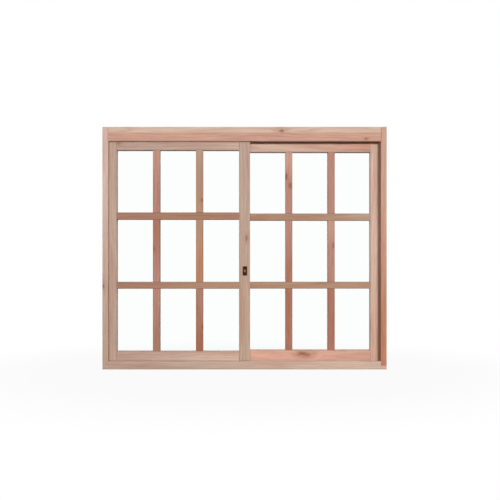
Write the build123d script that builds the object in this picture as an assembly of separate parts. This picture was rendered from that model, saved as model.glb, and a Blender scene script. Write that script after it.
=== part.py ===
from build123d import *
import os

# Timber horizontal sliding window: a ploughed frame with two sashes of three by three lights.
# Millimetres. X runs along the width, the room face looks toward -Y and +Z is up.
# The origin is on the underside of the sill, at mid width and mid depth.

# Frame
frame_width = 1200.0
frame_height = 1024.0
jamb_thickness = 24.0
head_thickness = 24.0
stop_depth = 18.0            # room-side and weather-side stops, and the front lip of the sill
stop_height = 36.0           # how far the head stops hang below the head
parting_depth = 10.0         # bead between the two tracks at the head
parting_height = 30.0
foot_height = 15.5           # sill left below the jamb feet
lip_height = 34.0            # top of the sill's front lip
sill_floor = 20.0            # level of the track floor
lip_bevel_depth = 5.0
lip_bevel_height = 8.0
frame_arris = 3.0            # chamfer along the frame's room-side edges

# Sashes
sash_thickness = 32.0
outer_stile = 40.0
meeting_stile = 47.0
top_rail = 47.0
bottom_rail = 50.0
bar_width = 30.0
columns = 3
rows = 3
sight_arris = 2.0            # chamfer round every light, on the room side
edge_arris = 1.0             # eased outer edges of the sashes
top_cover = 13.0             # sash height hidden behind the head stops

# Glazing
rebate_width = 9.0
rebate_depth = 12.0
glass_thickness = 4.0
glass_margin = 2.0           # gap left round each pane in its rebate
bead_bevel = 4.0

# Tracks
track_height = 12.0
track_web = 4.0
track_flange = 16.0
track_flange_thickness = 1.5
track_end_gap = 2.0
groove_side_clearance = 2.0
running_gap = 0.3            # between the track's crown and the groove in the sash

# Clearances
face_clearance = 5.0         # sash faces to stops and parting bead
end_clearance = 5.0          # sash ends to the jambs
floor_clearance = 5.0        # sash underside to the track floor
closing_cover = 7.0          # how far a closed sash enters the groove in its jamb

# Latch on the room-side meeting stile
latch_width = 18.5
latch_height = 39.0
latch_thickness = 2.5
latch_corner = 2.5
latch_bevel = 0.8
latch_x = 1.5
latch_z = 416.0
latch_screw_pitch = 28.0
latch_screw_hole = 3.6
turn_boss_diameter = 10.0
turn_boss_height = 3.0
turn_wing_length = 13.0
turn_wing_width = 5.0
turn_wing_height = 6.0
turn_round = 1.2             # rounded crest of the thumb turn

# Derived positions
channel = sash_thickness + 2 * face_clearance
frame_depth = 2 * stop_depth + 2 * channel + parting_depth
front = -frame_depth / 2
back = frame_depth / 2
jamb_face = frame_width / 2 - jamb_thickness
sash_edge = jamb_face + closing_cover
groove_face = sash_edge + end_clearance
head_under = frame_height - head_thickness
stop_under = head_under - stop_height
sash_bottom = sill_floor + floor_clearance
sash_top = stop_under + top_cover
front_sash_y = front + stop_depth + face_clearance
rear_sash_y = back - stop_depth - face_clearance - sash_thickness
web_width = bar_width - 2 * rebate_width
shoulder = sash_thickness - rebate_depth
sash_width = sash_edge + meeting_stile / 2
light_width = (sash_width - outer_stile - meeting_stile - (columns - 1) * bar_width) / columns
light_bottom = sash_bottom + bottom_rail
light_top = sash_top - top_rail
light_height = (light_top - light_bottom - (rows - 1) * bar_width) / rows
track_crown = sill_floor + track_height
groove_width = track_web + 2 * groove_side_clearance

os.makedirs("parts", exist_ok=True)


def save(shape, node):
    export_step(shape, f"parts/{node}.step")


def box(x0, x1, y0, y1, z0, z1):
    size = Box(abs(x1 - x0), y1 - y0, z1 - z0)
    return Pos((x0 + x1) / 2, (y0 + y1) / 2, (z0 + z1) / 2) * size


def along_x(profile, x0, x1):
    """Prism of a (y, z) profile between two X stations."""
    face = Plane.YZ * Polygon(*profile, align=None)
    return Pos(X=min(x0, x1)) * extrude(face, amount=abs(x1 - x0), dir=(1, 0, 0))


def along_z(profile, z0, z1):
    """Prism of an (x, y) profile between two levels."""
    face = Polygon(*profile, align=None)
    return Pos(Z=z0) * extrude(face, amount=z1 - z0, dir=(0, 0, 1))


def along_y(profile, y0, y1):
    """Prism of an (x, z) profile between two depths."""
    face = Plane.XZ * Polygon(*profile, align=None)
    return Pos(Y=y0) * extrude(face, amount=y1 - y0, dir=(0, 1, 0))


def group(solids):
    return Compound(children=[s.solid() for s in solids])


# Jambs. Each has a closing groove, stopped under the head, on the track whose sash shuts into it.
def jamb(side, groove_y0):
    outer = side * frame_width / 2
    inner = side * jamb_face
    a = frame_arris
    profile = [
        (outer, front),
        (inner + side * a, front),
        (inner, front + a),
        (inner, back - a),
        (inner + side * a, back),
        (outer, back),
    ]
    blank = along_z(profile, foot_height, frame_height)
    groove_x = side * groove_face
    groove = box(inner - side, groove_x, groove_y0, groove_y0 + channel, 0, head_under)
    return blank - groove


save(jamb(-1, front + stop_depth), "left_jamb")
save(jamb(1, back - stop_depth - channel), "right_jamb")

# Head board, housed between the jambs, and the three strips that make its tracks.
save(box(-jamb_face, jamb_face, front, back, head_under, frame_height), "head")

stop_profile = [
    (front, head_under),
    (front, stop_under + frame_arris),
    (front + frame_arris, stop_under),
    (front + stop_depth, stop_under),
    (front + stop_depth, head_under),
]
save(along_x(stop_profile, -jamb_face, jamb_face), "head_front_stop")
rear_profile = [(-y, z) for y, z in stop_profile]
save(along_x(rear_profile, -jamb_face, jamb_face), "head_rear_stop")
half_parting = parting_depth / 2
parting = box(-jamb_face, jamb_face, -half_parting, half_parting, head_under - parting_height, head_under)
save(parting, "head_parting_bead")

# Sill: a full-width foot, with the lip, the track floor and the weather slope between the jambs.
sill_foot = box(-frame_width / 2, frame_width / 2, front, back, 0, foot_height)
sill_profile = [
    (front, foot_height - 1),
    (front, lip_height - lip_bevel_height),
    (front + lip_bevel_depth, lip_height),
    (front + stop_depth, lip_height),
    (front + stop_depth, sill_floor),
    (back - stop_depth, sill_floor),
    (back, foot_height),
    (back, foot_height - 1),
]
save(sill_foot + along_x(sill_profile, -jamb_face, jamb_face), "sill")


# Tracks: an inverted T with a rounded crown, standing on the sill floor under each sash.
def track(sash_y):
    mid = sash_y + sash_thickness / 2
    end = jamb_face - track_end_gap
    flange_top = sill_floor + track_flange_thickness
    flange = box(-end, end, mid - track_flange / 2, mid + track_flange / 2, sill_floor, flange_top)
    crown_centre = track_crown - track_web / 2
    web = box(-end, end, mid - track_web / 2, mid + track_web / 2, sill_floor, crown_centre)
    crown = Pos(0, mid, crown_centre) * Rot(Y=90) * Cylinder(track_web / 2, 2 * end)
    return flange + web + crown


save(track(front_sash_y), "front_track")
save(track(rear_sash_y), "rear_track")


# Sashes. u runs from the outer edge of a sash toward its meeting edge, v from its room face back.
def build_sash(name, side, y0):
    def x(u):
        return side * (sash_edge - u)

    def upright(profile, z0, z1):
        return along_z([(x(u), y0 + v) for u, v in profile], z0, z1)

    def crosswise(profile, u0, u1):
        return along_x([(y0 + v, z) for v, z in profile], x(u0), x(u1))

    a = sight_arris
    e = edge_arris
    t = sash_thickness
    mid = y0 + t / 2
    track_groove = box(
        x(-1),
        x(sash_width + 1),
        mid - groove_width / 2,
        mid + groove_width / 2,
        sash_bottom - 1,
        track_crown + running_gap,
    )

    # Stiles run the full height, with the glazing rebate worked along the back.
    def stile(u_out, u_in):
        s = 1 if u_in > u_out else -1
        profile = [
            (u_out + s * e, 0),
            (u_in - s * a, 0),
            (u_in, a),
            (u_in, shoulder),
            (u_in - s * rebate_width, shoulder),
            (u_in - s * rebate_width, t),
            (u_out + s * e, t),
            (u_out, t - e),
            (u_out, e),
        ]
        return upright(profile, sash_bottom, sash_top) - track_groove

    u_left = outer_stile
    u_right = sash_width - meeting_stile
    save(stile(0, u_left), f"{name}_outer_stile")
    save(stile(sash_width, u_right), f"{name}_meeting_stile")

    # Rails stop at the stiles in front and reach into the stile rebates behind.
    def rail(z_out, z_in):
        s = 1 if z_in > z_out else -1
        face = [
            (0, z_out + s * e),
            (0, z_in - s * a),
            (a, z_in),
            (shoulder, z_in),
            (shoulder, z_out),
            (e, z_out),
        ]
        rear = [
            (shoulder, z_out),
            (shoulder, z_in - s * rebate_width),
            (t, z_in - s * rebate_width),
            (t, z_out + s * e),
            (t - e, z_out),
        ]
        long = crosswise(rear, u_left - rebate_width, u_right + rebate_width)
        return crosswise(face, u_left, u_right) + long - track_groove

    save(rail(sash_top, light_top), f"{name}_top_rail")
    save(rail(sash_bottom, light_bottom), f"{name}_bottom_rail")

    # Glazing bars are T-shaped: a broad room face and a narrow web between the rebates.
    face_bar = [
        (a - bar_width / 2, 0),
        (bar_width / 2 - a, 0),
        (bar_width / 2, a),
        (bar_width / 2, shoulder),
        (-bar_width / 2, shoulder),
        (-bar_width / 2, a),
    ]
    web_bar = [
        (-web_width / 2, shoulder),
        (web_width / 2, shoulder),
        (web_width / 2, t),
        (-web_width / 2, t),
    ]

    row_z = [light_bottom + r * (light_height + bar_width) for r in range(rows)]
    column_u = [u_left + c * (light_width + bar_width) for c in range(columns)]
    for z0, place in zip(row_z[1:], ("lower", "upper")):
        centre = z0 - bar_width / 2
        face = crosswise([(v, centre + w) for w, v in face_bar], u_left, u_right)
        web = crosswise(
            [(v, centre + w) for w, v in web_bar],
            u_left - rebate_width,
            u_right + rebate_width,
        )
        save(face + web, f"{name}_{place}_cross_bar")

    # The uprights are cut between the rails and cross bars, their webs scribed into the rebates.
    for u0, place in zip(column_u[1:], ("outer", "inner")):
        centre = u0 - bar_width / 2
        for z0, level in zip(row_z, ("lower", "middle", "upper")):
            z1 = z0 + light_height
            face = upright([(centre + w, v) for w, v in face_bar], z0, z1)
            web = upright(
                [(centre + w, v) for w, v in web_bar],
                z0 - rebate_width,
                z1 + rebate_width,
            )
            save(face + web, f"{name}_{level}_{place}_upright")

    # Panes bed against the shoulders, and bevelled beads, mitred at the corners, hold them from behind.
    panes = []
    cross_beads = []
    upright_beads = []
    pane_grow = rebate_width - glass_margin
    glass_back = shoulder + glass_thickness
    for u0 in column_u:
        for z0 in row_z:
            u1 = u0 + light_width
            z1 = z0 + light_height
            panes.append(
                box(
                    x(u0 - pane_grow),
                    x(u1 + pane_grow),
                    y0 + shoulder,
                    y0 + glass_back,
                    z0 - pane_grow,
                    z1 + pane_grow,
                )
            )
            ring = box(
                x(u0 - rebate_width),
                x(u1 + rebate_width),
                y0 + glass_back,
                y0 + t,
                z0 - rebate_width,
                z1 + rebate_width,
            )
            ring -= box(x(u0), x(u1), y0, y0 + t + 1, z0, z1)
            rim = ring.faces().sort_by(Axis.Y)[-1].inner_wires()[0].edges()
            ring = chamfer(rim, bead_bevel)
            inner = [(u0, z0), (u1, z0), (u1, z1), (u0, z1)]
            r = rebate_width
            outer = [(u0 - r, z0 - r), (u1 + r, z0 - r), (u1 + r, z1 + r), (u0 - r, z1 + r)]
            for k in range(4):
                n = (k + 1) % 4
                quarter = [(x(u), z) for u, z in (outer[k], outer[n], inner[n], inner[k])]
                strip = ring & along_y(quarter, y0 + glass_back, y0 + t)
                if k % 2:
                    upright_beads.append(strip)
                else:
                    cross_beads.append(strip)
    save(group(panes), f"{name}_panes")
    save(group(cross_beads), f"{name}_cross_beads")
    save(group(upright_beads), f"{name}_upright_beads")


build_sash("front_sash", -1, front_sash_y)
build_sash("rear_sash", 1, rear_sash_y)

# Latch: a screwed plate with a thumb turn, on the room face of the front meeting stile.
plate = extrude(RectangleRounded(latch_width, latch_height, latch_corner), amount=latch_thickness)
plate = chamfer(plate.faces().sort_by(Axis.Z)[-1].outer_wire().edges(), latch_bevel)
for side in (-1, 1):
    hole = Cylinder(latch_screw_hole / 2, 3 * latch_thickness)
    plate -= Pos(Y=side * latch_screw_pitch / 2) * hole
turn = extrude(Circle(turn_boss_diameter / 2), amount=turn_boss_height)
wing = extrude(SlotOverall(turn_wing_length, turn_wing_width, rotation=90), amount=turn_wing_height)
wing = fillet(wing.faces().sort_by(Axis.Z)[-1].edges(), turn_round)
turn = Pos(Z=latch_thickness) * (turn + wing)
seat = Location(Plane(origin=(latch_x, front_sash_y, latch_z), x_dir=(1, 0, 0), z_dir=(0, -1, 0)))
save(seat * plate, "latch_plate")
save(seat * turn, "latch_turn")
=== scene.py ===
"""Dresses a sliding window: two nine-light sashes of planed, unfinished pine in a pine frame."""

import math
import random

import bpy
from mathutils import Euler, Matrix, Vector


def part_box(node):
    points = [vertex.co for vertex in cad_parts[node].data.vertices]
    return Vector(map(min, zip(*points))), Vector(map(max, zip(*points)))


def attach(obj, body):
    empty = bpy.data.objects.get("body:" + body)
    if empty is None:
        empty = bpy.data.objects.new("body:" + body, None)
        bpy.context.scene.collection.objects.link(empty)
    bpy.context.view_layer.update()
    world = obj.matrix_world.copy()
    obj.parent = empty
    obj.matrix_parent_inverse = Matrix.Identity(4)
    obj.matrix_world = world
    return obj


bl_info = {
    "name": "Sliding window",
    "version": (1, 0, 0),
    "blender": (4, 5, 0),
    "location": "View3D > Sidebar > Window",
    "description": "Timber, glass, tracks, latch and fixings of a two-sash sliding window",
    "category": "Object",
}

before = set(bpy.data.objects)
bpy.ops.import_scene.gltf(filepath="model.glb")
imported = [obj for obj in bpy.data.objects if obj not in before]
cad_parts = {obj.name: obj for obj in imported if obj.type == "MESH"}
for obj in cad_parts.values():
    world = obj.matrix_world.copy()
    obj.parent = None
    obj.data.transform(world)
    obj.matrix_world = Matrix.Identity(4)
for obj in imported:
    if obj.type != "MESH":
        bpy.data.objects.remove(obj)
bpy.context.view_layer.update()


def linear(code):
    """Turns an sRGB hex colour into linear red, green and blue."""
    parts = [int(code[i : i + 2], 16) / 255 for i in (1, 3, 5)]
    return tuple(c / 12.92 if c <= 0.04045 else ((c + 0.055) / 1.055) ** 2.4 for c in parts)


def colour(name, note, code):
    """A colour that the user may change, given as sRGB hex."""
    return bpy.props.FloatVectorProperty(
        name=name, description=note, subtype="COLOR", size=3, min=0.0, max=1.0, default=linear(code)
    )


def length(name, note, metres):
    """A size in metres that the user may change."""
    return bpy.props.FloatProperty(name=name, description=note, unit="LENGTH", min=0.0, default=metres)


class WindowTones(bpy.types.PropertyGroup):
    """Colours of the timber, metal and glass."""

    pale: colour("Pale sapwood", "Lightest boards of the frame", "#D6B9A7")
    lilac: colour("Lilac sapwood", "Palest boards with a cool pink cast", "#DBBEB3")
    pink: colour("Pink sapwood", "Stops and rails with a pink cast", "#CEA28F")
    blush: colour("Blush sapwood", "Brightest pink rail", "#DDAE9B")
    tan: colour("Tan wood", "Weathered, yellower boards", "#C0A490")
    grey: colour("Grey wood", "Rails and stiles with a cool cast", "#BFA596")
    rosy: colour("Rosy heartwood", "Reddest glazing bars", "#BB8B7C")
    orange: colour("Orange heartwood", "Warm, orange boards and bars", "#BC8466")
    red: colour("Red heartwood", "Deepest red bars", "#AE7763")
    brown: colour("Brown heartwood", "Darkest glazing bars", "#A97E68")
    olive: colour("Olive wood", "Bars that lean to green", "#B48F76")
    heart: colour("Heart streak", "Broad streaks of heartwood", "#B27F6C")
    # Pale tone painted on the arrises as a highlight, the colour of fresh sanded wood.
    highlight_tone: colour("Fresh wood", "Sanded edges", "#E8CDBB")
    knot: colour("Knot", "Dark core of a knot", "#74432E")
    knot_edge: colour("Knot edge", "Wood that bends round a knot", "#A56B52")
    glass: colour("Glass", "Faint tint of the panes", "#FCFEFD")
    aluminium: colour("Aluminium", "Mill finish of the tracks", "#D9DADB")
    bronze: colour("Bronze", "Dark skin of the latch", "#4C2D11")
    worn_bronze: colour("Worn bronze", "Bare metal where fingers rub", "#AD8D69")
    steel: colour("Steel", "Panel pins in the beads", "#B9B7B2")
    paper: colour("Paper", "Studio floor", "#6A6968")


class WindowSizes(bpy.types.PropertyGroup):
    """Sizes of the grain and the fixings."""

    ring_pitch: length("Ring pitch", "Distance between two growth rings", 0.009)
    fibre_width: length("Fibre width", "Width of a streak of fibres", 0.0035)
    fibre_length: length("Fibre length", "Length of a streak of fibres", 0.14)
    # How far the painted shade and dust spread out of a corner.
    dust_and_shade_reach: length("Dust reach", "How far dust spreads out of a corner", 0.009)
    screw_head: length("Screw head", "Diameter of the latch screws", 0.0062)
    screw_rise: length("Screw rise", "Height of a screw's dome", 0.0016)
    screw_slot: length("Screw slot", "Width of the driver slot", 0.0011)
    screw_pitch: length("Screw pitch", "Distance between the two latch screws", 0.028)
    pin_head: length("Pin head", "Diameter of a panel pin's head", 0.0022)
    pin_rise: length("Pin rise", "Height of a pin's head above the bead", 0.0003)
    pin_spacing: length("Pin spacing", "Distance between pins along a bead", 0.085)
    pin_line: length("Pin line", "Distance of the pins from the sight edge", 0.0065)


class WindowStage(bpy.types.PropertyGroup):
    """Levels of the studio light."""

    key: bpy.props.FloatProperty(name="Key", description="Softbox in front", unit="POWER", default=336.0)
    back: bpy.props.FloatProperty(name="Back", description="Softbox behind", unit="POWER", default=75.0)
    side: bpy.props.FloatProperty(name="Side", description="Softboxes beside", unit="POWER", default=28.0)
    above: bpy.props.FloatProperty(name="Above", description="Light from the ceiling", default=0.14)
    clean: bpy.props.FloatProperty(
        name="Clean floor", description="Share of the floor that stays white under the shadow",
        subtype="FACTOR", min=0.0, max=1.0, default=0.95,
    )


def add(tree, kind, inputs=None, **settings):
    """Adds one node, sets its fields, and fills or links its inputs."""
    made = tree.nodes.new(kind)
    made.location = (220 * (len(tree.nodes) % 12), -260 * (len(tree.nodes) // 12))
    for field, value in settings.items():
        setattr(made, field, value)
    for key, value in (inputs or {}).items():
        if isinstance(value, bpy.types.NodeSocket):
            tree.links.new(value, made.inputs[key])
        else:
            made.inputs[key].default_value = value
    return made


def empty_material(name):
    """A material with only its output, and that output's node."""
    made = bpy.data.materials.new(name)
    made.use_nodes = True
    made.node_tree.nodes.clear()
    return made, made.node_tree, add(made.node_tree, "ShaderNodeOutputMaterial")


def seen_directly(tree):
    """One for a ray from the eye, a reflection or through glass, and zero for a ray that carries light."""
    ray = add(tree, "ShaderNodeLightPath")
    seen = ray.outputs["Is Camera Ray"]
    for kind in ("Is Glossy Ray", "Is Transmission Ray"):
        seen = add(tree, "ShaderNodeMath", {0: seen, 1: ray.outputs[kind]}, operation="MAXIMUM").outputs[0]
    return seen


def wear(piece, material):
    """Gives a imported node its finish."""
    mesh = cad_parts[piece].data
    mesh.materials.clear()
    mesh.materials.append(material)


# Grain run of each piece, and its tone at the low end and at the high end of the grain:
# left to right for a run along X, foot to top for a run along Z. Two more numbers may follow:
# where along the board the tone changes, and over what share of its length.
FRAME_BOARDS = {
    "left_jamb": ("Z", "tan", "lilac"),
    "right_jamb": ("Z", "orange", "pink", 0.42, 0.5),
    "head": ("X", "pale", "pale"),
    "sill": ("X", "grey", "pale"),
    "head_front_stop": ("X", "pink", "pink"),
    "head_parting_bead": ("X", "brown", "red"),
    "head_rear_stop": ("X", "pink", "pale"),
}

SASH_MEMBERS = {
    "front_sash_outer_stile": ("Z", "grey", "grey"),
    "front_sash_meeting_stile": ("Z", "tan", "grey"),
    "front_sash_top_rail": ("X", "grey", "pale", 1.0),
    "front_sash_bottom_rail": ("X", "grey", "pale"),
    "rear_sash_outer_stile": ("Z", "pink", "pale", 0.05),
    "rear_sash_meeting_stile": ("Z", "pink", "grey"),
    "rear_sash_top_rail": ("X", "pale", "pink", 0.55),
    "rear_sash_bottom_rail": ("X", "blush", "pink", 0.8),
}

GLAZING_BARS = {
    "front_sash_lower_cross_bar": ("X", "brown", "olive"),
    "front_sash_upper_cross_bar": ("X", "brown", "brown"),
    "front_sash_lower_outer_upright": ("Z", "brown", "rosy"),
    "front_sash_middle_outer_upright": ("Z", "rosy", "red"),
    "front_sash_upper_outer_upright": ("Z", "rosy", "pink", 0.8),
    "front_sash_lower_inner_upright": ("Z", "knot_edge", "brown"),
    "front_sash_middle_inner_upright": ("Z", "orange", "olive"),
    "front_sash_upper_inner_upright": ("Z", "olive", "tan", 0.8),
    "rear_sash_lower_cross_bar": ("X", "olive", "olive"),
    "rear_sash_upper_cross_bar": ("X", "olive", "tan", 0.85),
    "rear_sash_lower_outer_upright": ("Z", "red", "red"),
    "rear_sash_middle_outer_upright": ("Z", "rosy", "pink", 0.8),
    "rear_sash_upper_outer_upright": ("Z", "rosy", "rosy"),
    "rear_sash_lower_inner_upright": ("Z", "red", "red"),
    "rear_sash_middle_inner_upright": ("Z", "red", "rosy"),
    "rear_sash_upper_inner_upright": ("Z", "rosy", "pink"),
}

GLAZING_BEADS = {
    "front_sash_cross_beads": ("X", "pink", "tan"),
    "front_sash_upright_beads": ("Z", "pink", "grey"),
    "rear_sash_cross_beads": ("X", "tan", "pink"),
    "rear_sash_upright_beads": ("Z", "pink", "pale"),
}

# Knots: place across the window and above the floor, and radius, in metres, then how dark it is
# and how many degrees it leans off the grain.
KNOTS = {
    "left_jamb": ((-0.598, 0.352, 0.009, 0.8, 10),),
    "head": ((0.155, 1.008, 0.009, 0.8, -15),),
    "head_front_stop": ((0.514, 0.974, 0.005, 0.8, -10),),
    "front_sash_top_rail": ((-0.536, 0.958, 0.009, 0.5, -30),),
    "front_sash_meeting_stile": ((0.008, 0.556, 0.008, 0.8, 8),),
    "front_sash_upper_inner_upright": ((-0.183, 0.718, 0.005, 0.8, -12),),
    "front_sash_lower_inner_upright": ((-0.177, 0.178, 0.006, 1.0, 15),),
    "front_sash_middle_outer_upright": ((-0.386, 0.510, 0.008, 0.7, -6),),
    "rear_sash_bottom_rail": ((0.247, 0.060, 0.013, 0.85, -22), (0.266, 0.055, 0.013, 0.6, -30)),
    "rear_sash_upper_inner_upright": ((0.197, 0.784, 0.010, 0.8, 20), (0.177, 0.822, 0.012, 1.0, -14)),
    "rear_sash_middle_outer_upright": ((0.384, 0.528, 0.008, 0.6, 10),),
}


def lay_board(tree, piece, run, place, pick):
    """Coordinates of a board with its grain along Z, a degree or so off the edge, and half its length."""
    foot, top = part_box(piece)
    reach = (top.x - foot.x if run == "X" else top.z - foot.z) / 2
    lie = Matrix.Rotation(-math.pi / 2, 3, "Y") if run == "X" else Matrix.Identity(3)
    slope = Euler((math.radians(pick.uniform(-1.4, 1.4)), math.radians(pick.uniform(-1.4, 1.4)), 0.0))
    turn = slope.to_matrix() @ lie
    board = add(tree, "ShaderNodeMapping", {
        "Vector": place.outputs["Object"],
        "Location": -(turn @ ((foot + top) / 2)),
        "Rotation": turn.to_euler(),
    }).outputs["Vector"]
    return board, reach


def grow_knots(tree, piece, run, place):
    """Knots that start at the front face and taper into the thickness, and how the wood swells round them."""
    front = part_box(piece)[0].y
    stretch = (0.5, 0.12, 1.0) if run == "X" else (1.0, 0.12, 0.5)
    cores = []
    swell = None
    for x, z, radius, strength, lean in KNOTS.get(piece, ()):
        away = add(tree, "ShaderNodeVectorMath", {
            0: place.outputs["Object"], 1: (x, front, z),
        }, operation="SUBTRACT").outputs[0]
        oval = add(tree, "ShaderNodeMapping", {
            "Vector": away, "Rotation": (0.0, math.radians(lean), 0.0),
            "Scale": tuple(s / radius for s in stretch),
        }).outputs[0]
        rough_at = add(tree, "ShaderNodeTexNoise", {
            "Vector": place.outputs["Object"], "Scale": 0.9 / radius, "Detail": 3.0, "Roughness": 0.6,
        }).outputs["Fac"]
        ragged = add(tree, "ShaderNodeMath", {
            0: rough_at, 1: 1.2,
            2: add(tree, "ShaderNodeVectorMath", {0: oval}, operation="LENGTH").outputs["Value"],
        }, operation="MULTIPLY_ADD").outputs[0]
        core = add(tree, "ShaderNodeMapRange", {
            "Value": ragged, "From Min": 0.8, "From Max": 1.6, "To Min": 1.0, "To Max": 0.0,
        }, interpolation_type="SMOOTHSTEP").outputs[0]
        halo = add(tree, "ShaderNodeMapRange", {
            "Value": ragged, "From Min": 1.1, "From Max": 3.6, "To Min": 1.0, "To Max": 0.0,
        }, interpolation_type="SMOOTHSTEP").outputs[0]
        cores.append((core, halo, strength))
        if swell is None:
            swell = halo
        else:
            swell = add(tree, "ShaderNodeMath", {0: swell, 1: halo}, operation="MAXIMUM").outputs[0]
    return cores, swell


def growth_rings(tree, board, cloud, swell, pitch, pick):
    """Late wood of the rings, which stand round a pith line outside the board and bend round its knots."""
    # Real pine has two to four millimetres between rings. A wider pitch shows from across a room.
    across = pick.choice((-1, 1)) * pick.uniform(0.02, 0.07)
    behind = pick.choice((-1, 1)) * pick.uniform(0.03, 0.09)
    from_pith = add(tree, "ShaderNodeVectorMath", {
        0: board, 1: (across, behind, 0.0),
    }, operation="SUBTRACT").outputs[0]
    flat = add(tree, "ShaderNodeVectorMath", {
        0: from_pith, 1: (1.0, 1.0, 0.0),
    }, operation="MULTIPLY").outputs[0]
    radius = add(tree, "ShaderNodeMath", {
        0: cloud, 1: 0.035,
        2: add(tree, "ShaderNodeVectorMath", {0: flat}, operation="LENGTH").outputs["Value"],
    }, operation="MULTIPLY_ADD").outputs[0]
    if swell is not None:
        radius = add(tree, "ShaderNodeMath", {
            0: swell, 1: 0.006, 2: radius,
        }, operation="MULTIPLY_ADD").outputs[0]
    count = add(tree, "ShaderNodeMath", {0: radius, 1: pitch}, operation="DIVIDE").outputs[0]
    ring = add(tree, "ShaderNodeMath", {0: count}, operation="FRACT").outputs[0]
    band = add(tree, "ShaderNodeValToRGB", {"Fac": ring})
    band.color_ramp.elements[0].color = (0.0, 0.0, 0.0, 1.0)
    band.color_ramp.elements[1].color = (0.05, 0.05, 0.05, 1.0)
    band.color_ramp.elements.new(0.45).color = (0.18, 0.18, 0.18, 1.0)
    band.color_ramp.elements.new(0.82).color = (1.0, 1.0, 1.0, 1.0)
    return band.outputs["Color"]


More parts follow.
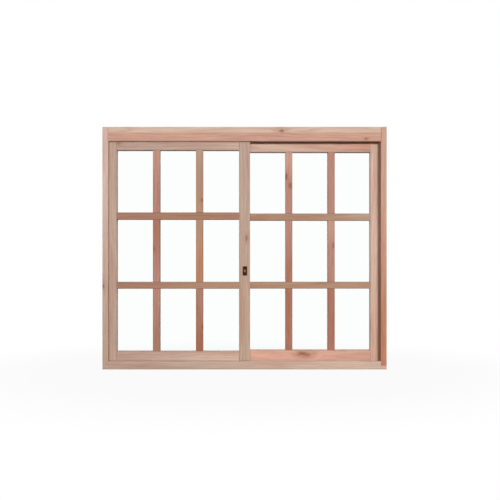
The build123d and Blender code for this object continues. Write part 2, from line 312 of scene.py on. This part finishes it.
def planed_pine(piece, seed, edge_highlight, run, low, high, change=0.5, spread=0.85):
    """Pine, planed and left bare: growth rings, fine fibres, streaks of heart, knots, a matt surface."""
    tones = bpy.context.scene.window_tones
    sizes = bpy.context.scene.window_sizes
    wood, tree, out = empty_material(f"planed_pine.{piece}")
    pick = random.Random(seed)
    place = add(tree, "ShaderNodeTexCoord")
    board, reach = lay_board(tree, piece, run, place, pick)

    # Streaks, from a broad cloud of colour to single bundles of fibres, all drawn out along the grain.
    shift = Vector((pick.uniform(0, 40), pick.uniform(0, 40), pick.uniform(0, 40)))
    cloud_at = add(tree, "ShaderNodeMapping", {
        "Vector": board, "Location": shift, "Scale": (1 / 0.055, 1 / 0.055, 1 / 0.42),
    })
    cloud = add(tree, "ShaderNodeTexNoise", {
        "Vector": cloud_at.outputs[0], "Scale": 1.0, "Detail": 3.0, "Roughness": 0.55,
    }).outputs["Fac"]
    fibre_at = add(tree, "ShaderNodeMapping", {
        "Vector": board, "Location": shift * 3,
        "Scale": (1 / sizes.fibre_width, 1 / sizes.fibre_width, 1 / sizes.fibre_length),
    })
    fibre = add(tree, "ShaderNodeTexNoise", {
        "Vector": fibre_at.outputs[0], "Scale": 1.0, "Detail": 5.0, "Roughness": 0.72,
    }).outputs["Fac"]
    cores, swell = grow_knots(tree, piece, run, place)
    late = growth_rings(tree, board, cloud, swell, sizes.ring_pitch, pick)

    # Tone along the board, streaks of heart, dark late wood, the fibres, then the knots.
    drift = spread * reach
    turn_at = (2 * change - 1) * reach + 0.5 * drift
    wander = add(tree, "ShaderNodeMath", {
        0: cloud, 1: drift, 2: add(tree, "ShaderNodeSeparateXYZ", {0: board}).outputs["Z"],
    }, operation="MULTIPLY_ADD").outputs[0]
    share = add(tree, "ShaderNodeMapRange", {
        "Value": wander, "From Min": turn_at - drift, "From Max": turn_at + drift,
    }, interpolation_type="SMOOTHSTEP").outputs[0]
    tone = add(tree, "ShaderNodeMix", {
        0: share, 6: (*getattr(tones, low), 1.0), 7: (*getattr(tones, high), 1.0),
    }, data_type="RGBA").outputs[2]
    streak = add(tree, "ShaderNodeMapRange", {
        "Value": cloud, "From Min": 0.5, "From Max": 0.75, "To Max": 0.55,
    }).outputs[0]
    tone = add(tree, "ShaderNodeMix", {
        0: streak, 6: tone, 7: (*tones.heart, 1.0),
    }, data_type="RGBA").outputs[2]
    dark = add(tree, "ShaderNodeMath", {0: late, 1: 0.34}, operation="MULTIPLY").outputs[0]
    tone = add(tree, "ShaderNodeMix", {
        0: dark, 6: tone, 7: (0.66, 0.52, 0.45, 1.0),
    }, data_type="RGBA", blend_type="MULTIPLY").outputs[2]
    strand = add(tree, "ShaderNodeMapRange", {
        "Value": fibre, "From Min": 0.3, "From Max": 0.7, "To Min": 0.84, "To Max": 1.12,
    }).outputs[0]
    tone = add(tree, "ShaderNodeMix", {
        0: 1.0, 6: tone, 7: strand,
    }, data_type="RGBA", blend_type="MULTIPLY").outputs[2]
    for core, halo, strength in cores:
        edge = add(tree, "ShaderNodeMath", {0: halo, 1: 0.35 * strength}, operation="MULTIPLY").outputs[0]
        tone = add(tree, "ShaderNodeMix", {
            0: edge, 6: tone, 7: (*tones.knot_edge, 1.0),
        }, data_type="RGBA").outputs[2]
        eye = add(tree, "ShaderNodeMath", {0: core, 1: 0.8 * strength}, operation="MULTIPLY").outputs[0]
        tone = add(tree, "ShaderNodeMix", {
            0: eye, 6: tone, 7: (*tones.knot, 1.0),
        }, data_type="RGBA").outputs[2]

    # Sawn ends drink the light and read darker than the planed faces.
    facing = add(tree, "ShaderNodeVectorMath", {
        0: place.outputs["Normal"], 1: (1.0, 0.0, 0.0) if run == "X" else (0.0, 0.0, 1.0),
    }, operation="DOT_PRODUCT").outputs["Value"]
    end = add(tree, "ShaderNodeMapRange", {
        "Value": add(tree, "ShaderNodeMath", {0: facing}, operation="ABSOLUTE").outputs[0],
        "From Min": 0.85, "From Max": 0.97, "To Max": 0.8,
    }).outputs[0]
    tone = add(tree, "ShaderNodeMix", {
        0: end, 6: tone, 7: (0.72, 0.62, 0.54, 1.0),
    }, data_type="RGBA", blend_type="MULTIPLY").outputs[2]

    # Painted highlight: the arrises are painted paler, in the tone of fresh sanded wood, as edges that catch
    # the light.
    axes = add(tree, "ShaderNodeSeparateXYZ", {
        0: add(tree, "ShaderNodeVectorMath", {0: place.outputs["Normal"]}, operation="ABSOLUTE").outputs[0],
    }).outputs
    square = add(tree, "ShaderNodeMath", {0: axes["X"], 1: axes["Y"]}, operation="MAXIMUM").outputs[0]
    square = add(tree, "ShaderNodeMath", {0: square, 1: axes["Z"]}, operation="MAXIMUM").outputs[0]
    arris_highlight = add(tree, "ShaderNodeMapRange", {
        "Value": square, "From Min": 0.9, "From Max": 0.97, "To Min": edge_highlight, "To Max": 0.0,
    }).outputs[0]
    tone = add(tree, "ShaderNodeMix", {
        0: arris_highlight, 6: tone, 7: (*tones.highlight_tone, 1.0),
    }, data_type="RGBA").outputs[2]

    # Painted shade and dust: the wood is darkened in the corners where one piece stands against the next,
    # where shade falls and dust would settle.
    corner = add(tree, "ShaderNodeAmbientOcclusion", {"Distance": sizes.dust_and_shade_reach}, samples=16)
    dust_and_shade = add(tree, "ShaderNodeMapRange", {
        "Value": corner.outputs["AO"], "From Min": 0.4, "From Max": 0.9, "To Min": 0.5, "To Max": 0.0,
    }).outputs[0]
    tone = add(tree, "ShaderNodeMix", {
        0: dust_and_shade, 6: tone, 7: (0.42, 0.32, 0.26, 1.0),
    }, data_type="RGBA", blend_type="MULTIPLY").outputs[2]

    rough = add(tree, "ShaderNodeMapRange", {
        "Value": fibre, "From Min": 0.3, "From Max": 0.7, "To Min": 0.74, "To Max": 0.6,
    }).outputs[0]
    relief = add(tree, "ShaderNodeMath", {0: late, 1: 0.5, 2: fibre}, operation="MULTIPLY_ADD").outputs[0]
    bump = add(tree, "ShaderNodeBump", {"Strength": 0.3, "Distance": 0.0005, "Height": relief})
    skin = add(tree, "ShaderNodeBsdfPrincipled", {
        "Base Color": tone, "Roughness": rough, "Specular IOR Level": 0.3, "Normal": bump.outputs[0],
    })
    tree.links.new(skin.outputs[0], out.inputs["Surface"])
    return wood


def float_glass():
    """Float glass: flat, clear, with a trace of green. Light passes it, so it casts no dark shadow."""
    tones = bpy.context.scene.window_tones
    made, tree, out = empty_material("float_glass")
    place = add(tree, "ShaderNodeTexCoord")
    # Rolling leaves waves about twelve centimetres long and a few hundredths of a millimetre deep.
    wave = add(tree, "ShaderNodeTexNoise", {
        "Vector": place.outputs["Object"], "Scale": 1 / 0.12, "Detail": 1.0,
    }).outputs["Fac"]
    bump = add(tree, "ShaderNodeBump", {"Strength": 0.05, "Distance": 0.0003, "Height": wave})
    pane = add(tree, "ShaderNodeBsdfPrincipled", {
        "Base Color": (*tones.glass, 1.0), "Roughness": 0.0, "IOR": 1.5, "Transmission Weight": 1.0,
        "Normal": bump.outputs[0],
    })
    ray = add(tree, "ShaderNodeLightPath")
    passing = add(tree, "ShaderNodeMath", {
        0: ray.outputs["Is Shadow Ray"], 1: ray.outputs["Is Diffuse Ray"],
    }, operation="MAXIMUM").outputs[0]
    clear = add(tree, "ShaderNodeBsdfTransparent", {"Color": (*tones.glass, 1.0)})
    both = add(tree, "ShaderNodeMixShader", {0: passing, 1: pane.outputs[0], 2: clear.outputs[0]})
    tree.links.new(both.outputs[0], out.inputs["Surface"])
    return made


def mill_aluminium():
    """Extruded aluminium as it leaves the mill: dull silver with fine lines along its length."""
    tones = bpy.context.scene.window_tones
    made, tree, out = empty_material("mill_aluminium")
    place = add(tree, "ShaderNodeTexCoord")
    # Die lines: under a millimetre apart, a metre long.
    line_at = add(tree, "ShaderNodeMapping", {
        "Vector": place.outputs["Object"], "Scale": (1 / 0.9, 1 / 0.0008, 1 / 0.0008),
    })
    lines = add(tree, "ShaderNodeTexNoise", {
        "Vector": line_at.outputs[0], "Scale": 1.0, "Detail": 3.0,
    }).outputs["Fac"]
    bloom = add(tree, "ShaderNodeTexNoise", {
        "Vector": place.outputs["Object"], "Scale": 1 / 0.05, "Detail": 4.0,
    }).outputs["Fac"]
    shade = add(tree, "ShaderNodeMapRange", {
        "Value": bloom, "From Min": 0.3, "From Max": 0.7, "To Min": 0.8, "To Max": 1.0,
    })
    tone = add(tree, "ShaderNodeMix", {
        0: 1.0, 6: (*tones.aluminium, 1.0), 7: shade.outputs[0],
    }, data_type="RGBA", blend_type="MULTIPLY").outputs[2]
    rough = add(tree, "ShaderNodeMapRange", {
        "Value": lines, "From Min": 0.3, "From Max": 0.7, "To Min": 0.3, "To Max": 0.5,
    })
    bump = add(tree, "ShaderNodeBump", {"Strength": 0.2, "Distance": 0.0002, "Height": lines})
    metal = add(tree, "ShaderNodeBsdfPrincipled", {
        "Base Color": tone, "Metallic": 1.0, "Roughness": rough.outputs[0], "Normal": bump.outputs[0],
    })
    tree.links.new(metal.outputs[0], out.inputs["Surface"])
    return made


def rubbed_bronze():
    """Cast brass with a dark oiled skin, rubbed through to bright metal on whatever stands out in front."""
    tones = bpy.context.scene.window_tones
    made, tree, out = empty_material("rubbed_bronze")
    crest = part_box("latch_turn")[0].y
    place = add(tree, "ShaderNodeTexCoord")
    depth = add(tree, "ShaderNodeSeparateXYZ", {0: place.outputs["Object"]}).outputs["Y"]
    blotch = add(tree, "ShaderNodeTexNoise", {
        "Vector": place.outputs["Object"], "Scale": 1 / 0.004, "Detail": 5.0, "Roughness": 0.6,
    }).outputs["Fac"]
    ragged = add(tree, "ShaderNodeMath", {
        0: blotch, 1: 0.003, 2: depth,
    }, operation="MULTIPLY_ADD").outputs[0]
    bare = add(tree, "ShaderNodeMapRange", {
        "Value": ragged, "To Min": 0.8, "To Max": 0.0,
        "From Min": crest + 0.0030, "From Max": crest + 0.0056,
    }).outputs[0]
    dull = add(tree, "ShaderNodeMapRange", {
        "Value": blotch, "From Min": 0.3, "From Max": 0.7, "To Min": 0.6, "To Max": 1.25,
    }).outputs[0]
    tone = add(tree, "ShaderNodeMix", {
        0: 1.0, 6: (*tones.bronze, 1.0), 7: dull,
    }, data_type="RGBA", blend_type="MULTIPLY").outputs[2]
    tone = add(tree, "ShaderNodeMix", {
        0: bare, 6: tone, 7: (*tones.worn_bronze, 1.0),
    }, data_type="RGBA").outputs[2]
    rough = add(tree, "ShaderNodeMapRange", {"Value": bare, "To Min": 0.5, "To Max": 0.32}).outputs[0]
    bump = add(tree, "ShaderNodeBump", {"Strength": 0.25, "Distance": 0.0002, "Height": blotch})
    metal = add(tree, "ShaderNodeBsdfPrincipled", {
        "Base Color": tone, "Metallic": 0.9, "Roughness": rough, "Normal": bump.outputs[0],
    })
    tree.links.new(metal.outputs[0], out.inputs["Surface"])
    return made


def drawn_steel():
    """Bright drawn steel wire with cut heads, a little dulled."""
    tones = bpy.context.scene.window_tones
    made, tree, out = empty_material("drawn_steel")
    place = add(tree, "ShaderNodeTexCoord")
    speck = add(tree, "ShaderNodeTexNoise", {
        "Vector": place.outputs["Object"], "Scale": 1 / 0.001, "Detail": 3.0,
    }).outputs["Fac"]
    shade = add(tree, "ShaderNodeMapRange", {
        "Value": speck, "From Min": 0.3, "From Max": 0.7, "To Min": 0.7, "To Max": 1.0,
    })
    tone = add(tree, "ShaderNodeMix", {
        0: 1.0, 6: (*tones.steel, 1.0), 7: shade.outputs[0],
    }, data_type="RGBA", blend_type="MULTIPLY").outputs[2]
    metal = add(tree, "ShaderNodeBsdfPrincipled", {"Base Color": tone, "Metallic": 1.0, "Roughness": 0.38})
    tree.links.new(metal.outputs[0], out.inputs["Surface"])
    return made


def new_geometry_tree(name, inputs):
    """A Geometry Nodes tree with these named inputs, its input node and a lookup of socket identifiers."""
    tree = bpy.data.node_groups.new(name, "GeometryNodeTree")
    tree.interface.new_socket(name="Geometry", in_out="OUTPUT", socket_type="NodeSocketGeometry")
    ids = {}
    for label, kind in inputs.items():
        ids[label] = tree.interface.new_socket(name=label, in_out="INPUT", socket_type=kind).identifier
    return tree, add(tree, "NodeGroupInput"), ids


def finish_tree(tree, shape, material):
    """Ends a tree with plain faces that carry their material."""
    plain = add(tree, "GeometryNodeRealizeInstances", {0: shape})
    painted = add(tree, "GeometryNodeSetMaterial", {"Geometry": plain.outputs[0], "Material": material})
    end = add(tree, "NodeGroupOutput")
    tree.links.new(painted.outputs[0], end.inputs[0])


def grow(name, tree, ids, values, body):
    """Runs a tree on an empty mesh, keeps the result as a plain mesh, and puts it on its body."""
    seed = bpy.data.objects.new(f"{name}_tree", bpy.data.meshes.new(f"{name}_tree"))
    bpy.context.scene.collection.objects.link(seed)
    step = seed.modifiers.new("Geometry", "NODES")
    step.node_group = tree
    for label, value in values.items():
        step[ids[label]] = value
    seen = seed.evaluated_get(bpy.context.evaluated_depsgraph_get())
    mesh = bpy.data.meshes.new_from_object(seen)
    bpy.data.objects.remove(seed)
    if not mesh.polygons:
        raise RuntimeError(f"{name} came out empty")
    mesh.name = name
    mesh.materials.clear()
    mesh.materials.append(values["Material"])
    mesh.polygons.foreach_set("material_index", [0] * len(mesh.polygons))
    mesh.shade_smooth()
    mesh.set_sharp_from_angle(angle=math.radians(35))
    piece = bpy.data.objects.new(name, mesh)
    bpy.context.scene.collection.objects.link(piece)
    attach(piece, body)
    return piece


def screw_tree():
    """Two domed, slotted screw heads in a line up a plate that faces the front."""
    tree, given, ids = new_geometry_tree("latch_screw_heads", {
        "Head": "NodeSocketFloat", "Rise": "NodeSocketFloat", "Slot": "NodeSocketFloat",
        "Pitch": "NodeSocketFloat", "Place": "NodeSocketVector", "Material": "NodeSocketMaterial",
    })
    ball = add(tree, "GeometryNodeMeshUVSphere", {"Segments": 24, "Rings": 16, "Radius": 1.0})
    half = add(tree, "ShaderNodeMath", {0: given.outputs["Head"], 1: 0.5}, operation="MULTIPLY").outputs[0]
    squat = add(tree, "ShaderNodeCombineXYZ", {0: half, 1: half, 2: given.outputs["Rise"]})
    dome = add(tree, "GeometryNodeTransform", {"Geometry": ball.outputs[0], "Scale": squat.outputs[0]})
    twice = add(tree, "ShaderNodeMath", {0: given.outputs["Head"], 1: 2.0}, operation="MULTIPLY").outputs[0]
    under = add(tree, "GeometryNodeMeshCube", {
        "Size": add(tree, "ShaderNodeCombineXYZ", {0: twice, 1: twice, 2: twice}).outputs[0],
    })
    drop = add(tree, "ShaderNodeMath", {0: given.outputs["Head"], 1: -1.0}, operation="MULTIPLY").outputs[0]
    under = add(tree, "GeometryNodeTransform", {
        "Geometry": under.outputs[0],
        "Translation": add(tree, "ShaderNodeCombineXYZ", {2: drop}).outputs[0],
    })
    groove = add(tree, "GeometryNodeMeshCube", {
        "Size": add(tree, "ShaderNodeCombineXYZ", {
            0: twice, 1: given.outputs["Slot"], 2: given.outputs["Rise"],
        }).outputs[0],
    })
    groove = add(tree, "GeometryNodeTransform", {
        "Geometry": groove.outputs[0],
        "Translation": add(tree, "ShaderNodeCombineXYZ", {2: given.outputs["Rise"]}).outputs[0],
    })
    cut = add(tree, "GeometryNodeMeshBoolean", {
        0: dome.outputs[0], 1: under.outputs[0],
    }, operation="DIFFERENCE")
    cut = add(tree, "GeometryNodeMeshBoolean", {
        0: cut.outputs[0], 1: groove.outputs[0],
    }, operation="DIFFERENCE")
    below = add(tree, "ShaderNodeMath", {
        0: given.outputs["Pitch"], 1: -0.5,
    }, operation="MULTIPLY").outputs[0]
    spots = add(tree, "GeometryNodeMeshLine", {
        "Count": 2,
        "Start Location": add(tree, "ShaderNodeCombineXYZ", {2: below}).outputs[0],
        "Offset": add(tree, "ShaderNodeCombineXYZ", {2: given.outputs["Pitch"]}).outputs[0],
    })
    # Each slot stops where the driver left it.
    stop = add(tree, "FunctionNodeRandomValue", {
        0: (math.pi / 2, 0.3, 0.0), 1: (math.pi / 2, 2.6, 0.0), "Seed": 4,
    }, data_type="FLOAT_VECTOR")
    heads = add(tree, "GeometryNodeInstanceOnPoints", {
        "Points": spots.outputs[0], "Instance": cut.outputs[0], "Rotation": stop.outputs[0],
    })
    placed = add(tree, "GeometryNodeTransform", {
        "Geometry": heads.outputs[0], "Translation": given.outputs["Place"],
    })
    finish_tree(tree, placed.outputs[0], given.outputs["Material"])
    return tree, ids


def pin_tree():
    """Panel pin heads along the beads of nine lights, seen from behind."""
    tree, given, ids = new_geometry_tree("bead_pin_heads", {
        "Light width": "NodeSocketFloat", "Light height": "NodeSocketFloat",
        "Pitch across": "NodeSocketFloat", "Pitch up": "NodeSocketFloat",
        "Pin line": "NodeSocketFloat", "Spacing": "NodeSocketFloat",
        "Head": "NodeSocketFloat", "Rise": "NodeSocketFloat",
        "Place": "NodeSocketVector", "Material": "NodeSocketMaterial",
    })
    wide = add(tree, "ShaderNodeMath", {
        0: given.outputs["Pin line"], 1: 2.0, 2: given.outputs["Light width"],
    }, operation="MULTIPLY_ADD").outputs[0]
    tall = add(tree, "ShaderNodeMath", {
        0: given.outputs["Pin line"], 1: 2.0, 2: given.outputs["Light height"],
    }, operation="MULTIPLY_ADD").outputs[0]
    run = add(tree, "ShaderNodeMath", {
        0: given.outputs["Spacing"], 1: 2.0,
    }, operation="MULTIPLY").outputs[0]
    cross = add(tree, "GeometryNodeMeshGrid", {
        "Size X": given.outputs["Spacing"], "Size Y": tall, "Vertices X": 2, "Vertices Y": 2,
    })
    upright = add(tree, "GeometryNodeMeshGrid", {
        "Size X": wide, "Size Y": run, "Vertices X": 2, "Vertices Y": 3,
    })
    spots = add(tree, "GeometryNodeJoinGeometry")
    tree.links.new(cross.outputs[0], spots.inputs[0])
    tree.links.new(upright.outputs[0], spots.inputs[0])
    half = add(tree, "ShaderNodeMath", {0: given.outputs["Head"], 1: 0.5}, operation="MULTIPLY").outputs[0]
    thick = add(tree, "ShaderNodeMath", {0: given.outputs["Rise"], 1: 2.0}, operation="MULTIPLY").outputs[0]
    head = add(tree, "GeometryNodeMeshCylinder", {"Vertices": 10, "Radius": half, "Depth": thick})
    around = add(tree, "GeometryNodeInstanceOnPoints", {
        "Points": spots.outputs[0], "Instance": head.outputs[0],
    })
    spread = add(tree, "ShaderNodeMath", {
        0: given.outputs["Pitch across"], 1: 2.0,
    }, operation="MULTIPLY").outputs[0]
    climb = add(tree, "ShaderNodeMath", {
        0: given.outputs["Pitch up"], 1: 2.0,
    }, operation="MULTIPLY").outputs[0]
    lights = add(tree, "GeometryNodeMeshGrid", {
        "Size X": spread, "Size Y": climb, "Vertices X": 3, "Vertices Y": 3,
    })
    nine = add(tree, "GeometryNodeInstanceOnPoints", {
        "Points": lights.outputs[0], "Instance": around.outputs[0],
    })
    # The grid is laid flat, then stood up with its heads to the back.
    placed = add(tree, "GeometryNodeTransform", {
        "Geometry": nine.outputs[0],
        "Translation": given.outputs["Place"], "Rotation": (-math.pi / 2, 0.0, 0.0),
    })
    finish_tree(tree, placed.outputs[0], given.outputs["Material"])
    return tree, ids


def dress(pieces, first_seed, edge_highlight):
    """Gives each timber piece a board of its own, with its arrises painted paler by this much as a highlight.
    """
    for number, (piece, board) in enumerate(pieces.items()):
        wear(piece, planed_pine(piece, first_seed + number, edge_highlight, *board))


class WINDOW_OT_dress_frame(bpy.types.Operator):
    """Dresses the jambs, head, sill and the stops under the head"""

    bl_idname = "sliding_window.dress_frame"
    bl_label = "Frame boards"

    def execute(self, context):
        dress(FRAME_BOARDS, 100, 0.2)
        return {"FINISHED"}


class WINDOW_OT_dress_sashes(bpy.types.Operator):
    """Dresses the stiles and rails of both sashes"""

    bl_idname = "sliding_window.dress_sashes"
    bl_label = "Stiles and rails"

    def execute(self, context):
        dress(SASH_MEMBERS, 200, 0.08)
        return {"FINISHED"}


class WINDOW_OT_dress_bars(bpy.types.Operator):
    """Dresses the glazing bars"""

    bl_idname = "sliding_window.dress_bars"
    bl_label = "Glazing bars"

    def execute(self, context):
        dress(GLAZING_BARS, 300, 0.0)
        return {"FINISHED"}


class WINDOW_OT_dress_beads(bpy.types.Operator):
    """Dresses the beads behind the panes"""

    bl_idname = "sliding_window.dress_beads"
    bl_label = "Glazing beads"

    def execute(self, context):
        dress(GLAZING_BEADS, 400, 0.12)
        return {"FINISHED"}


class WINDOW_OT_glaze(bpy.types.Operator):
    """Glazes both sashes"""

    bl_idname = "sliding_window.glaze"
    bl_label = "Panes"

    def execute(self, context):
        glass = float_glass()
        wear("front_sash_panes", glass)
        wear("rear_sash_panes", glass)
        return {"FINISHED"}


class WINDOW_OT_finish_tracks(bpy.types.Operator):
    """Finishes the two tracks on the sill"""

    bl_idname = "sliding_window.finish_tracks"
    bl_label = "Tracks"

    def execute(self, context):
        metal = mill_aluminium()
        wear("front_track", metal)
        wear("rear_track", metal)
        return {"FINISHED"}


class WINDOW_OT_finish_latch(bpy.types.Operator):
    """Finishes the latch and drives its two screws"""

    bl_idname = "sliding_window.finish_latch"
    bl_label = "Latch and screws"

    def execute(self, context):
        sizes = context.scene.window_sizes
        metal = rubbed_bronze()
        wear("latch_plate", metal)
        wear("latch_turn", metal)
        low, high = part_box("latch_plate")
        tree, ids = screw_tree()
        grow("latch_screws", tree, ids, {
            "Head": sizes.screw_head, "Rise": sizes.screw_rise, "Slot": sizes.screw_slot,
            "Pitch": sizes.screw_pitch, "Material": metal,
            "Place": ((low.x + high.x) / 2, low.y, (low.z + high.z) / 2),
        }, "front_sash")
        return {"FINISHED"}


class WINDOW_OT_drive_pins(bpy.types.Operator):
    """Drives the panel pins that hold the beads"""

    bl_idname = "sliding_window.drive_pins"
    bl_label = "Bead pins"

    def execute(self, context):
        sizes = context.scene.window_sizes
        metal = drawn_steel()
        tree, ids = pin_tree()
        for sash in ("front_sash", "rear_sash"):
            edges = [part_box(f"{sash}_{stile}") for stile in ("outer_stile", "meeting_stile")]
            edges.sort(key=lambda pair: pair[0].x)
            left, right = edges[0][1].x, edges[1][0].x
            foot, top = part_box(f"{sash}_bottom_rail")[1].z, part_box(f"{sash}_top_rail")[0].z
            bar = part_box(f"{sash}_lower_inner_upright")
            bar_width = bar[1].x - bar[0].x
            wide = (right - left - 2 * bar_width) / 3
            tall = (top - foot - 2 * bar_width) / 3
            grow(f"{sash}_bead_pins", tree, ids, {
                "Light width": wide, "Light height": tall,
                "Pitch across": wide + bar_width, "Pitch up": tall + bar_width,
                "Pin line": sizes.pin_line, "Spacing": sizes.pin_spacing,
                "Head": sizes.pin_head, "Rise": sizes.pin_rise, "Material": metal,
                "Place": ((left + right) / 2, edges[0][1].y, (foot + top) / 2),
            }, sash)
        return {"FINISHED"}


class WINDOW_OT_set_stage(bpy.types.Operator):
    """Sets the floor, the light and the camera"""

    bl_idname = "sliding_window.set_stage"
    bl_label = "Stage"

    def execute(self, context):
        scene = context.scene
        stage = scene.window_stage
        scene.view_settings.view_transform = "Standard"

        # Pale paper floor: white to the eye and in reflections, with a share kept for the shadow.
        paper, tree, out = empty_material("studio_paper")
        seen = seen_directly(tree)
        place = add(tree, "ShaderNodeTexCoord")
        away = add(tree, "ShaderNodeVectorMath", {
            0: place.outputs["Object"],
        }, operation="LENGTH").outputs["Value"]
        share = add(tree, "ShaderNodeMapRange", {
            "Value": away, "From Min": 0.7, "From Max": 1.6, "To Min": stage.clean, "To Max": 1.0,
        }, interpolation_type="SMOOTHSTEP").outputs[0]
        part = add(tree, "ShaderNodeMath", {0: seen, 1: share}, operation="MULTIPLY").outputs[0]
        matt = add(tree, "ShaderNodeBsdfDiffuse", {"Color": (*scene.window_tones.paper, 1.0)})
        white = add(tree, "ShaderNodeEmission", {"Color": (1.0, 1.0, 1.0, 1.0), "Strength": 1.0})
        both = add(tree, "ShaderNodeMixShader", {0: part, 1: matt.outputs[0], 2: white.outputs[0]})
        tree.links.new(both.outputs[0], out.inputs["Surface"])
        sheet = bpy.data.meshes.new("studio_floor")
        sheet.from_pydata([(-6, -6, 0), (6, -6, 0), (6, 6, 0), (-6, 6, 0)], [], [(0, 1, 2, 3)])
        sheet.materials.append(paper)
        floor = bpy.data.objects.new("studio_floor", sheet)
        scene.collection.objects.link(floor)

        # Soft light that falls mostly from above, seen as plain white.
        sky = bpy.data.worlds.new("studio_air")
        sky.use_nodes = True
        tree = sky.node_tree
        tree.nodes.clear()
        seen = seen_directly(tree)
        place = add(tree, "ShaderNodeTexCoord")
        height = add(tree, "ShaderNodeSeparateXYZ", {0: place.outputs["Generated"]}).outputs["Z"]
        soft = add(tree, "ShaderNodeMapRange", {
            "Value": height, "From Min": -0.3, "From Max": 0.8, "To Max": stage.above,
        }, interpolation_type="SMOOTHSTEP").outputs[0]
        level = add(tree, "ShaderNodeMix", {0: seen, 2: soft, 3: 1.0}, data_type="FLOAT").outputs[0]
        air = add(tree, "ShaderNodeBackground", {"Color": (1.0, 1.0, 1.0, 1.0), "Strength": level})
        end = add(tree, "ShaderNodeOutputWorld")
        tree.links.new(air.outputs[0], end.inputs["Surface"])
        scene.world = sky

        for name, place, size, power in (
            ("front_softbox", (0.35, -6.0, 0.88), (2.0, 0.5), stage.key),
            ("back_softbox", (0.6, 3.0, 2.2), (2.4, 1.6), stage.back),
            ("left_softbox", (-3.0, 0.9, 1.3), (1.2, 1.2), stage.side),
            ("right_softbox", (3.0, 0.9, 1.3), (1.2, 1.2), stage.side),
        ):
            lamp = bpy.data.lights.new(name, "AREA")
            lamp.shape = "RECTANGLE"
            lamp.size, lamp.size_y = size
            lamp.energy = power
            box = bpy.data.objects.new(name, lamp)
            box.location = place
            aim = Vector((0.0, 0.0, 0.5)) - Vector(place)
            box.rotation_euler = aim.to_track_quat("-Z", "Y").to_euler()
            # The panes show and mirror the white room, not the lamps.
            box.visible_glossy = False
            box.visible_transmission = False
            scene.collection.objects.link(box)

        eye = bpy.data.cameras.new("camera")
        eye.sensor_width = 36.0
        eye.lens = 54.58
        eye.shift_x = 0.0073
        eye.shift_y = 0.06
        eye.clip_end = 50.0
        camera = bpy.data.objects.new("camera", eye)
        camera.location = (0.0077, -3.265, 0.3775)
        camera.rotation_euler = (math.pi / 2, 0.0, 0.0)
        scene.collection.objects.link(camera)
        scene.camera = camera
        return {"FINISHED"}


class WINDOW_PT_pieces(bpy.types.Panel):
    """Lists the steps and the values that they use"""

    bl_idname = "WINDOW_PT_pieces"
    bl_label = "Sliding window"
    bl_space_type = "VIEW_3D"
    bl_region_type = "UI"
    bl_category = "Window"

    def draw(self, context):
        for step in STEPS:
            self.layout.operator(step.bl_idname)
        for group in ("window_tones", "window_sizes", "window_stage"):
            values = getattr(context.scene, group)
            for key in values.__annotations__:
                self.layout.prop(values, key)


STEPS = (
    WINDOW_OT_dress_frame,
    WINDOW_OT_dress_sashes,
    WINDOW_OT_dress_bars,
    WINDOW_OT_dress_beads,
    WINDOW_OT_glaze,
    WINDOW_OT_finish_tracks,
    WINDOW_OT_finish_latch,
    WINDOW_OT_drive_pins,
    WINDOW_OT_set_stage,
)
CLASSES = (WindowTones, WindowSizes, WindowStage, *STEPS, WINDOW_PT_pieces)


def register():
    for kind in CLASSES:
        bpy.utils.register_class(kind)
    bpy.types.Scene.window_tones = bpy.props.PointerProperty(type=WindowTones)
    bpy.types.Scene.window_sizes = bpy.props.PointerProperty(type=WindowSizes)
    bpy.types.Scene.window_stage = bpy.props.PointerProperty(type=WindowStage)


def unregister():
    del bpy.types.Scene.window_stage
    del bpy.types.Scene.window_sizes
    del bpy.types.Scene.window_tones
    for kind in reversed(CLASSES):
        bpy.utils.unregister_class(kind)


def main():
    register()
    bpy.ops.sliding_window.dress_frame()
    bpy.ops.sliding_window.dress_sashes()
    bpy.ops.sliding_window.dress_bars()
    bpy.ops.sliding_window.dress_beads()
    bpy.ops.sliding_window.glaze()
    bpy.ops.sliding_window.finish_tracks()
    bpy.ops.sliding_window.finish_latch()
    bpy.ops.sliding_window.drive_pins()
    bpy.ops.sliding_window.set_stage()


if __name__ == "__main__":
    main()
